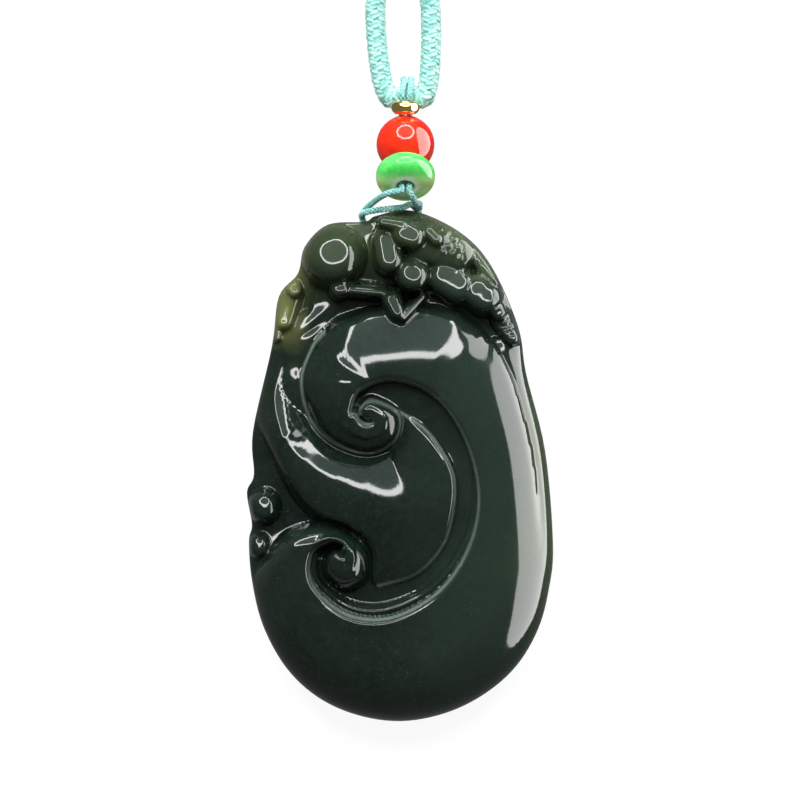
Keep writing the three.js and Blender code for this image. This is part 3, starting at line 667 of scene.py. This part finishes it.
# depth of the cut ground between the raised forms, as shares of the thickness
ground = [
    (30, 58, 0.75), (65, -20, 0.77), (52, -90, 0.72), (-15, -122, 0.64), (-82, -106, 0.67),
    (-42, 58, 0.74), (0, 34, 0.73), (-31, 8, 0.69), (-100, 68, 0.6), (-96, 112, 0.55),
    (-30, 158, 0.48), (70, 152, 0.51), (144, 14, 0.58), (-144, 14, 0.48), (-106, -50, 0.48),
    (-60, -64, 0.57), (-30, -92, 0.62), (-112, 152, 0.42), (-60, 224, 0.46), (60, 224, 0.46),
]
# rounded lumps of the beast and pearls: from, to, radii in steps, tops and drop as shares of the
# thickness, and for some their own rounding of the cap in millimetres and its lean
lumps = {
    "ball": ((-68, 207), (-65, 208), (32, 32), (0.925, 0.925), 0.59, 8.5, 0.35),
    "forelegEnd": ((-62, 174), (-58, 174), (10.5, 9.5), (0.83, 0.83), 0.27),
    "foreleg": ((-55, 174), (-18, 171), (7.5, 7), (0.8, 0.79), 0.23),
    "paw": ((-8, 163), (-3, 151), (12.5, 10), (0.92, 0.92), 0.38, 5.5, 0.42),
    "claw": ((1, 147), (23, 167), (8, 5), (0.88, 0.84), 0.3),
    "jowl": ((11, 189), (13, 188), (18.5, 18.5), (0.95, 0.95), 0.36, 7.0, 0.38),
    "cheek": ((-14, 222), (-11, 204), (16, 16), (0.91, 0.91), 0.3, 5.5, 0.36),
    "brow": ((5, 230), (12, 227), (16, 15), (0.945, 0.945), 0.28, 7.0, 0.40),
    "crown": ((-17, 241), (1, 238), (7, 8), (0.90, 0.91), 0.25),
    "nape": ((25, 221), (55, 212), (27, 24), (0.83, 0.79), 0.4),
    "body": ((44, 186), (58, 178), (21, 21), (0.87, 0.86), 0.42, 5.0, 0.30),
    "haunch": ((78, 172), (84, 167), (19, 19), (0.91, 0.9), 0.34),
    "back": ((62, 230), (95, 188), (14, 14), (0.74, 0.70), 0.31),
    "tail": ((100, 146), (112, 126), (13, 9), (0.65, 0.65), 0.27),
    "leaf": ((-109, 170), (-116, 143), (14, 11), (0.60, 0.54), 0.25),
    "upperPearl": ((-136, -41), (-136, -44), (17, 17), (0.76, 0.76), 0.41, 2.6, 0.22),
    "lowerPearl": ((-141, -80), (-141, -84), (12, 12), (0.62, 0.62), 0.28, 2.2, 0.22),
}
# finer forms that only the stone's surface has: heart pearls of the scrolls, ear, knee, leaf knob
fineLumps = {
    "upperHeart": ((-26, 50), (-24, 50), (11.5, 11.5), (0.975, 0.975), 0.16, 3.0, 0.25),
    "lowerHeart": ((-56, -100), (-53, -103), (16, 16), (0.95, 0.95), 0.14, 4.0, 0.25),
    "ear": ((29, 231), (36, 224), (8, 8), (0.91, 0.90), 0.16),
    "knee": ((94, 158), (98, 151), (9, 8), (0.83, 0.80), 0.14),
    "leafKnob": ((-107, 176), (-106, 174), (8, 8), (0.66, 0.66), 0.10),
    "leafTip": ((-122, 140), (-124, 126), (7, 5), (0.52, 0.50), 0.10),
}
# patches of overlapping scales: middle, half-size, turn in degrees, pitch in steps, height in millimetres
scalePatches = [
    ((47, 224), (24, 19), -38.0, 9.0, 0.30), ((68, 196), (18, 12), -25.0, 8.0, 0.18),
    ((101, 160), (10, 20), -65.0, 8.0, 0.18), ((107, 134), (11, 20), -70.0, 7.0, 0.15),
]


def smooth(value):
    # 0 to 1 with soft ends
    t = np.clip(value, 0, 1)
    return t * t * (3 - 2 * t)


def shoulder(distance, radius):
    # a quarter-round: 0 at the line, 1 a radius away from it
    t = np.clip(distance / radius, 0, 1)
    return np.sqrt(1 - (1 - t) ** 2)


def softMax(a, b, width):
    # the higher of two surfaces, blended where they meet
    h = np.clip(0.5 + (a - b) / (2 * width), 0, 1)
    return b + (a - b) * h + width * h * (1 - h)


def nearest(line, x, y):
    # distance to a drawn line, the share along it, and the side (+1 is left of its way)
    best = np.full(x.shape, np.inf)
    share = np.zeros(x.shape)
    side = np.ones(x.shape)
    lengths = np.linalg.norm(np.diff(line, axis=0), axis=1)
    run = 0.0
    for (ax, ay), (bx, by), length in zip(line[:-1], line[1:], lengths):
        if length > 0:
            dx, dy = (bx - ax) / length, (by - ay) / length
            t = np.clip((x - ax) * dx + (y - ay) * dy, 0, length)
            distance = np.hypot(x - ax - t * dx, y - ay - t * dy)
            nearer = distance < best
            best[nearer] = distance[nearer]
            share[nearer] = (run + t[nearer]) / lengths.sum()
            side[nearer] = np.sign(dx * (y - ay) - dy * (x - ax))[nearer]
        run += length
    return best, share, side


def encloses(polygon, x, y):
    # whether each place lies in the polygon
    inside = np.zeros(x.shape, bool)
    for (ax, ay), (bx, by) in zip(polygon, np.roll(polygon, -1, axis=0)):
        if ay != by:
            inside ^= ((ay > y) != (by > y)) & (x < ax + (y - ay) * (bx - ax) / (by - ay))
    return inside


def profileAt(name, share):
    return np.interp(share, *profiles[name])


def groundHeight(x, y, settings):
    # the cut ground, blended between its given depths
    total = weights = 0.0
    for gx, gy, share in ground:
        px, py = np.array((gx, gy)) * step
        spread = np.hypot(x - px, y - py) ** 2 + settings["groundSpread"]
        weight = 1 / spread ** settings["groundPower"]
        total = total + weight * share * jadeThickness
        weights = weights + weight
    return total / weights


def lumpHeight(form, x, y, settings):
    start, end, radii, tops, drop, *own = form
    (ax, ay), (bx, by) = np.array(start) * step, np.array(end) * step
    share = np.clip(((x - ax) * (bx - ax) + (y - ay) * (by - ay)) / ((bx - ax) ** 2 + (by - ay) ** 2), 0, 1)
    distance = np.hypot(x - ax - share * (bx - ax), y - ay - share * (by - ay))
    radius = (radii[0] + (radii[1] - radii[0]) * share) * step[1]
    across = distance / radius
    top = (tops[0] + (tops[1] - tops[0]) * share) * jadeThickness
    # a shallow cap that leans to the top end, over a steep rounded wall
    capRound, lean = own or (settings["capRound"] + settings["capWiden"] * radius,
                             settings["lumpLean"] - settings["leanEase"] * radius)
    cap = radius ** 2 / (2 * capRound)
    wall = 1 - np.sqrt(np.clip(1 - np.minimum(across, 1) ** settings["wallPower"], 0, 1))
    fall = lean * (y - (ay + by) / 2)
    height = top - cap * across ** 2 - np.maximum(drop * jadeThickness - cap, 0) * wall - fall
    return np.where(across < 1, height, 0)


def scaleHeight(x, y, settings):
    # rounded scales in offset rows
    total = np.zeros(x.shape)
    for (cx, cy), (wide, high), degrees, pitch, rise in scalePatches:
        angle = math.radians(degrees)
        px, py = x / step[0] - cx, y / step[1] - cy
        u = px * math.cos(angle) + py * math.sin(angle)
        v = py * math.cos(angle) - px * math.sin(angle)
        inside = smooth((1 - np.hypot(u / wide, v / high)) / settings["scaleFade"])
        row = np.floor(u / pitch)
        across = (v / pitch + 0.5 * (row % 2)) % 1 - 0.5
        lengthwise = u / pitch - row
        dome = np.clip(1 - (2 * across) ** 2 - (2 * lengthwise - 1) ** 2, 0, 1)
        total = np.maximum(total, inside * rise * np.sqrt(dome))
    return total


def frontHeight(x, y, settings):
    floor = groundHeight(x, y, settings)
    dome, domeShare, _ = nearest(domeEdge, x, y)
    scroll, scrollShare, _ = nearest(scrollEdge, x, y)
    band, bandShare, _ = nearest(bandEdge, x, y)
    lip = 1 - (2 * band / profileAt("lipWidth", bandShare) - 1) ** 2
    lip = profileAt("lipHeight", bandShare) * np.sqrt(np.clip(lip, 0, 1))

    # the scrolled band and the dome
    (sagX, sagY), (reachX, reachY) = settings["sag"], settings["sagReach"]
    top = jadeThickness - sagX * (x / reachX) ** 2 - sagY * (y / reachY) ** 2
    rise = (shoulder(band, settings["bandShoulder"])
            * shoulder(dome, profileAt("domeShoulder", domeShare))
            * shoulder(scroll, profileAt("scrollShoulder", scrollShare)))
    rim, rimShare, _ = nearest(domeRim, x, y)
    near, least = settings["domeNear"], settings["domeFoot"]
    wide = near + (settings["domeRounding"] - near) * smooth(rimShare / settings["domeEase"])
    rise = rise * shoulder(rim, settings["domeStep"]) * (least + (1 - least) * shoulder(rim, wide))
    crease, creaseShare, creaseSide = nearest(sideCrease, x, y)
    drop = np.where(creaseSide > 0, settings["sideStep"] * (1 - smooth(creaseShare)), 0)
    bandTop = np.maximum(floor + (top - floor) * rise - drop, floor)

    # the cloud wave
    crest, crestShare, crestSide = nearest(waveCrest, x, y)
    crestTop = jadeThickness * profileAt("crestHeight", crestShare)
    slope = np.where(crestSide > 0, profileAt("innerSlope", crestShare), settings["outerSlope"])
    roll = np.where(crestSide > 0, profileAt("innerRoll", crestShare), profileAt("outerRoll", crestShare))
    top = np.maximum(crestTop - slope * (np.hypot(crest, roll) - roll), floor + settings["leastRise"])
    waveRound = settings["waveShoulder"]
    waveEdge = nearest(waveRight, x, y)[0]
    inner = np.interp(domeShare, settings["waveRange"], [settings["waveInner"], waveRound])
    rise = (shoulder(dome, inner) * shoulder(waveEdge, waveRound)
            * shoulder(nearest(waveLeft, x, y)[0], 2 * waveRound) * shoulder(scroll, 1.5 * waveRound)
            * shoulder(nearest(waveTop, x, y)[0], 3 * waveRound))
    waveHigh = floor + (top - floor) * rise

    inBand = encloses(bandArea, x, y)
    inWave = encloses(waveArea, x, y) & ~inBand
    carved = np.where(inBand, bandTop, np.where(inWave, waveHigh, floor + lip))
    fade = (smooth(creaseShare / settings["creaseStart"])
            * smooth((1 - creaseShare) / settings["creaseEnd"]))
    carved = carved - settings["creaseDepth"] * fade * np.exp(-(crease / settings["creaseWidth"]) ** 2)

    # the rounded rim, then the beast and pearls over it
    edge = nearest(outline, x, y)[0]
    rim = settings["rimHeight"]
    right, left, foot = [smooth(way / settings["easeOver"]) for way in (
        x + settings["sideFrom"], settings["sideFrom"] - x, -y - settings["footFrom"])]
    roundTop = (settings["edgeRounding"] + settings["rightRounding"] * right
                + settings["footRounding"] * foot * left)
    body = rim + (carved - rim) * shoulder(edge, roundTop)
    raised = np.zeros(x.shape)
    for form in lumps.values():
        raised = softMax(raised, lumpHeight(form, x, y, settings), settings["lumpBlend"])
    raised = np.where(raised > rim, raised + scaleHeight(x, y, settings), raised)
    for form in fineLumps.values():
        raised = softMax(raised, lumpHeight(form, x, y, settings), settings["fineBlend"])
    raised = np.minimum(raised, jadeThickness - settings["topGap"])
    lifted = rim + (raised - rim) * shoulder(edge, settings["lumpEdge"])
    whole = softMax(body, lifted, settings["bodyBlend"])

    # painted highlight: fine pale lines where the band, the dome and the wave turn over their edges
    def edgeHighlight(inside, distance):
        return inside * np.exp(-((distance - settings["highlightInset"]) / settings["highlightWidth"]) ** 2)

    line = np.maximum.reduce([edgeHighlight(inBand, band), edgeHighlight(inBand, dome), edgeHighlight(inWave, waveEdge)])
    return whole, line * (raised < body)


def frontPlaces(across, upward, settings):
    # a square grid spread over the outline, its rows closer together at the rim
    u, v = 2 * across - 1, 2 * upward - 1
    reach = np.maximum(np.abs(u), np.abs(v))
    wide = np.abs(u) >= np.abs(v)
    turn = np.where(wide, v / np.where(wide & (u != 0), u, 1), u / np.where(~wide & (v != 0), v, 1))
    turn = turn * math.pi / 4
    c, s = np.cos(turn), np.sin(turn)
    way = np.stack([np.where(wide, np.sign(u) * c, np.sign(v) * s),
                    np.where(wide, np.sign(u) * s, np.sign(v) * c)], 1)
    t = np.clip((1 - reach) / settings["rimShare"], 0, 1)
    inner = 1 - settings["rimShare"] * np.where(t < 1, t * t * (2 - t), (1 - reach) / settings["rimShare"])
    half = (jadeHigh - jadeLow)[:2] / 2
    oval = way * half
    angle = np.arctan2(oval[:, 1], oval[:, 0])
    fine = np.vstack([np.linspace(a, b, settings["rimPieces"], endpoint=False)
                      for a, b in zip(outline[:-1], outline[1:])])
    angles = np.arctan2(fine[:, 1], fine[:, 0])
    order = np.argsort(angles)
    rimReach = np.interp(angle, angles[order], np.hypot(*fine[order].T), period=2 * math.pi)
    ovalReach = np.maximum(np.hypot(*oval.T), 1e-9)
    stretch = 1 + (rimReach / ovalReach - 1) * inner ** 2
    return oval * (inner * stretch)[:, None], inner


def jadeMesh(settings):
    def shape(across, upward):
        place, inner = frontPlaces(across, upward, settings)
        height, line = frontHeight(place[:, 0], place[:, 1], settings)
        height = np.where(inner >= 1, settings["rimHeight"], height)
        # line carries the painted highlight along the carved edges to the material
        return np.column_stack([place, height]), {"reach": inner, "line": line}

    cells = settings["gridCells"]
    mesh = gridMesh("jade", cells, cells, shape)
    made = bmesh.new()
    made.from_mesh(mesh)
    reach = made.verts.layers.float["reach"]
    inner = [v for v in made.verts if v[reach] < settings["softenWithin"]]
    for _ in range(settings["softenings"]):
        bmesh.ops.smooth_vert(made, verts=inner, factor=0.5,
                              use_axis_x=True, use_axis_y=True, use_axis_z=True)
    loop = [e for e in made.edges if e.is_boundary]
    rim = settings["rimHeight"] * mm
    done = 0.0
    for share in settings["backShares"]:
        pulled = bmesh.ops.extrude_edge_only(made, edges=loop)["geom"]
        loop = [e for e in pulled if isinstance(e, bmesh.types.BMEdge)]
        for v in [v for v in pulled if isinstance(v, bmesh.types.BMVert)]:
            flat = Vector((v.co.x, v.co.y, 0))
            inset = (share - done) * settings["backRounding"] * mm
            v.co = flat * (1 - inset / flat.length)
            v.co.z = rim * (1 - math.sqrt(1 - (1 - share) ** 2))
        done = share
    bmesh.ops.contextual_create(made, geom=loop)
    made.to_mesh(mesh)
    made.free()
    return mesh


def cutTunnel(piece, settings):
    # the stringing tunnel behind the top edge
    pieces = settings["tunnelPieces"]
    line = smoothCurve([spot(x, y, hanging["tunnelHeight"]) for x, y in tunnelRoute], pieces + 1)
    way, side, up = carriedFrames(line, False)

    def shape(around, lengthwise):
        at = np.rint(lengthwise * pieces).astype(int)
        spin = (2 * math.pi * around)[:, None]
        return line[at] + (side[at] * np.cos(spin) + up[at] * np.sin(spin)) * settings["tunnelBore"] / 2, {}

    mesh = gridMesh("tunnel", settings["tunnelSides"], pieces, shape, True)
    made = bmesh.new()
    made.from_mesh(mesh)
    bmesh.ops.holes_fill(made, edges=[e for e in made.edges if e.is_boundary])
    bmesh.ops.recalc_face_normals(made, faces=made.faces)
    made.to_mesh(mesh)
    made.free()
    drill = bpy.data.objects.new("drill", mesh)
    scene.collection.objects.link(drill)
    cut = piece.modifiers.new("tunnel", "BOOLEAN")
    cut.operation = "DIFFERENCE"
    cut.solver = "EXACT"
    cut.object = drill
    ready = bpy.data.meshes.new_from_object(piece.evaluated_get(bpy.context.evaluated_depsgraph_get()))
    piece.modifiers.clear()
    piece.data = ready
    ready.name = "jade"
    bpy.data.objects.remove(drill)


# deep green stone, olive towards the top and the thin edges, fine pale flecks and cloudy veins, with painted
# light: a lighter right half and a whitish top right corner for the soft box's sheen, and pale lines as
# painted highlights along the carved edges;
# the places where a tint begins and ends are in metres
stone = {
    "dark": (0.0045, 0.0098, 0.0066), "green": (0.0085, 0.0165, 0.0108), "grain": (0.017, 0.030, 0.019),
    # lit is painted light on the right half; the corner colour is an olive tint made whitish by painted
    # sheen
    "lit": (0.024, 0.043, 0.031), "olive": (0.046, 0.066, 0.027), "corner": (0.085, 0.108, 0.058),
    # line is the colour of the painted highlight along the carved edges
    "leaf": (0.150, 0.165, 0.052), "line": (0.21, 0.27, 0.23), "fleck": (0.15, 0.19, 0.14),
    "cloudScale": 120.0, "grainScale": 1500.0, "fleckScale": 5200.0,
    "litFrom": (-0.002, 0.012), "upperFrom": (0.0150, 0.0240), "rightFrom": (0.0108, 0.0152),
    "rightUpFrom": (-0.022, -0.008), "cornerFrom": (0.0165, 0.0215), "leafPast": (-0.0122, -0.0088),
    "leafUpFrom": (0.0112, 0.0150), "lowUnder": (0.0040, 0.0075),
    "ior": 1.40, "subsurface": 0.12, "subsurfaceRadius": (0.3, 0.8, 0.4), "subsurfaceScale": 1.2,
    "bump": 0.005, "bumpStrength": 0.5,
}


def jadeMaterial(settings):
    material, shader, start = newMaterial("green_jade")
    where = start.add("TexCoord", None, None, 3)
    x, y, z = [start.add("SeparateXYZ", None, {0: where}, k) for k in range(3)]
    clouds = noise(start, where, settings["cloudScale"], 5.0, 0.6, 0.6)
    grain = noise(start, where, settings["grainScale"], 4.0, 0.65)
    flecks = noise(start, where, settings["fleckScale"], 2.0, 0.5)
    ragged = clouds - 0.5  # the tints end along the clouds
    body = clouds.between(0.3, 0.75).mixed(settings["dark"], settings["green"])
    body = (grain.between(0.42, 0.75) * 0.35).mixed(body, settings["grain"])
    # painted light: lighter towards the right, for the soft box's sheen
    body = (x.between(*settings["litFrom"]) * 0.45).mixed(body, settings["lit"])
    upper = (y + ragged * 0.010).between(*settings["upperFrom"])
    right = (x + ragged * 0.004).between(*settings["rightFrom"]) * y.between(*settings["rightUpFrom"])
    # olive tint in the top right corner, whose mask also paints a whitish sheen there
    corner = (x * 0.8 + y * 0.6 + ragged * 0.006).between(*settings["cornerFrom"]) * upper
    leaf = 1 - (x + ragged * 0.003).between(*settings["leafPast"])
    leaf = leaf * (y + ragged * 0.004).between(*settings["leafUpFrom"])
    low = 1 - z.between(*settings["lowUnder"])
    olive = (upper * 0.40 + right * 0.8 + corner * 0.6 + low * upper * 0.4).clamped()
    body = olive.mixed(body, settings["olive"])
    # painted sheen: the top right corner made whitish
    body = (corner * 0.7).mixed(body, settings["corner"])
    body = (leaf * (0.5 + clouds * 0.5)).clamped().mixed(body, settings["leaf"])
    # painted highlight: pale lines along the carved edges
    line = start.add("Attribute", {"attribute_name": "line"}, None, 2)
    body = (line * (0.4 + grain * 0.6)).clamped().mixed(body, settings["line"])
    body = (flecks.between(0.68, 0.80) * 0.45).mixed(body, settings["fleck"])
    setSockets(shader, start, {
        "Base Color": body, "Roughness": 0.05 + grain * 0.06, "IOR": settings["ior"],
        "Subsurface Weight": settings["subsurface"], "Subsurface Radius": settings["subsurfaceRadius"],
        "Subsurface Scale": settings["subsurfaceScale"] * mm,
        "Normal": bump(start, grain, settings["bump"] * mm, settings["bumpStrength"]),
    })
    return material


jadePiece = newPiece("jade_carving", jadeMesh(carving), jadeMaterial(stone), "jade", "jade_pendant")
print("jade carved")
cutTunnel(jadePiece, carving)
print("tunnel drilled, triangles:", sum(len(p.vertices) - 2 for p in jadePiece.data.polygons))


# studio: a ring lamp up ahead, a soft box low on the right, a pale floor
studio = {
    "ringWay": (0.0, 0.80, 0.60), "ringDistance": 620.0, "ringInner": 25.5, "ringOuter": 31.0,
    "ringStrength": 24.0, "discStrength": 1.4, "discGap": 4.0, "lampSides": 96,
    "boxWay": (0.97, 0.18, 0.10), "boxDistance": 520.0, "boxSize": (1040.0, 660.0), "boxPower": 17.5,
    "worldTone": 0.18, "floorSide": 4000.0, "floorCells": 8, "floorGlow": 0.93, "floorTone": 0.09,
}
black, white, cool = (0.0, 0.0, 0.0), (1.0, 1.0, 1.0), (0.82, 0.97, 1.0)


def glowMaterial(name, colour, glow, strength):
    material, shader, start = newMaterial(name)
    setSockets(shader, start, {"Base Color": (*colour, 1), "Emission Color": (*glow, 1),
                               "Emission Strength": strength, "Roughness": 0.9, "Specular IOR Level": 0.0})
    return material


def lampPlate(name, inner, outer, distance, material, settings):
    # a flat disc, or a ring where inner isn't 0, facing the pendant
    made = bmesh.new()
    sides = settings["lampSides"]
    if inner > 0:
        for radius in (inner, outer):
            bmesh.ops.create_circle(made, segments=sides, radius=radius * mm)
        bmesh.ops.bridge_loops(made, edges=list(made.edges))
    else:
        bmesh.ops.create_circle(made, cap_ends=True, segments=sides, radius=outer * mm)
    direction = Vector(settings["ringWay"]).normalized()
    turn = Vector((0, 0, 1)).rotation_difference(-direction)
    bmesh.ops.rotate(made, verts=made.verts, cent=(0, 0, 0), matrix=turn.to_matrix())
    bmesh.ops.translate(made, verts=made.verts, vec=direction * distance * mm)
    mesh = bpy.data.meshes.new(name)
    made.to_mesh(mesh)
    made.free()
    mesh.materials.append(material)
    plate = bpy.data.objects.new(name, mesh)
    plate.visible_camera = False
    scene.collection.objects.link(plate)


def makeStudio(settings):
    reach = settings["ringDistance"]
    inner, outer = [reach * math.tan(math.radians(settings[k])) for k in ("ringInner", "ringOuter")]
    lampPlate("ring_lamp", inner, outer, reach,
              glowMaterial("lamp_white", black, white, settings["ringStrength"]), settings)
    lampPlate("lamp_middle", 0, inner, reach + settings["discGap"],
              glowMaterial("lamp_grey", black, cool, settings["discStrength"]), settings)
    data = bpy.data.lights.new("soft_box", "AREA")
    data.shape = "ELLIPSE"
    data.size, data.size_y = settings["boxSize"][0] * mm, settings["boxSize"][1] * mm
    data.energy = settings["boxPower"]
    box = bpy.data.objects.new("soft_box", data)
    direction = Vector(settings["boxWay"]).normalized()
    box.location = direction * settings["boxDistance"] * mm
    box.rotation_euler = direction.to_track_quat("Z", "Y").to_euler()
    box.visible_diffuse = False  # seen in the gloss alone, so that it doesn't bleach the cords
    scene.collection.objects.link(box)
    world = bpy.data.worlds.new("room")
    world.use_nodes = True
    world.node_tree.nodes["Background"].inputs[0].default_value = (*[settings["worldTone"]] * 3, 1)
    scene.world = world
    made = bmesh.new()
    cells = settings["floorCells"]
    bmesh.ops.create_grid(made, x_segments=cells, y_segments=cells, size=settings["floorSide"] / 2 * mm)
    mesh = bpy.data.meshes.new("floor")
    made.to_mesh(mesh)
    made.free()
    grey = [settings["floorTone"]] * 3
    mesh.materials.append(glowMaterial("pale_floor", grey, white, settings["floorGlow"]))
    floor = bpy.data.objects.new("floor", mesh)
    floor.visible_glossy = False  # keeps a grey band off the rims
    scene.collection.objects.link(floor)
    scene.view_settings.view_transform = "Standard"


makeStudio(studio)
print("studio lit")
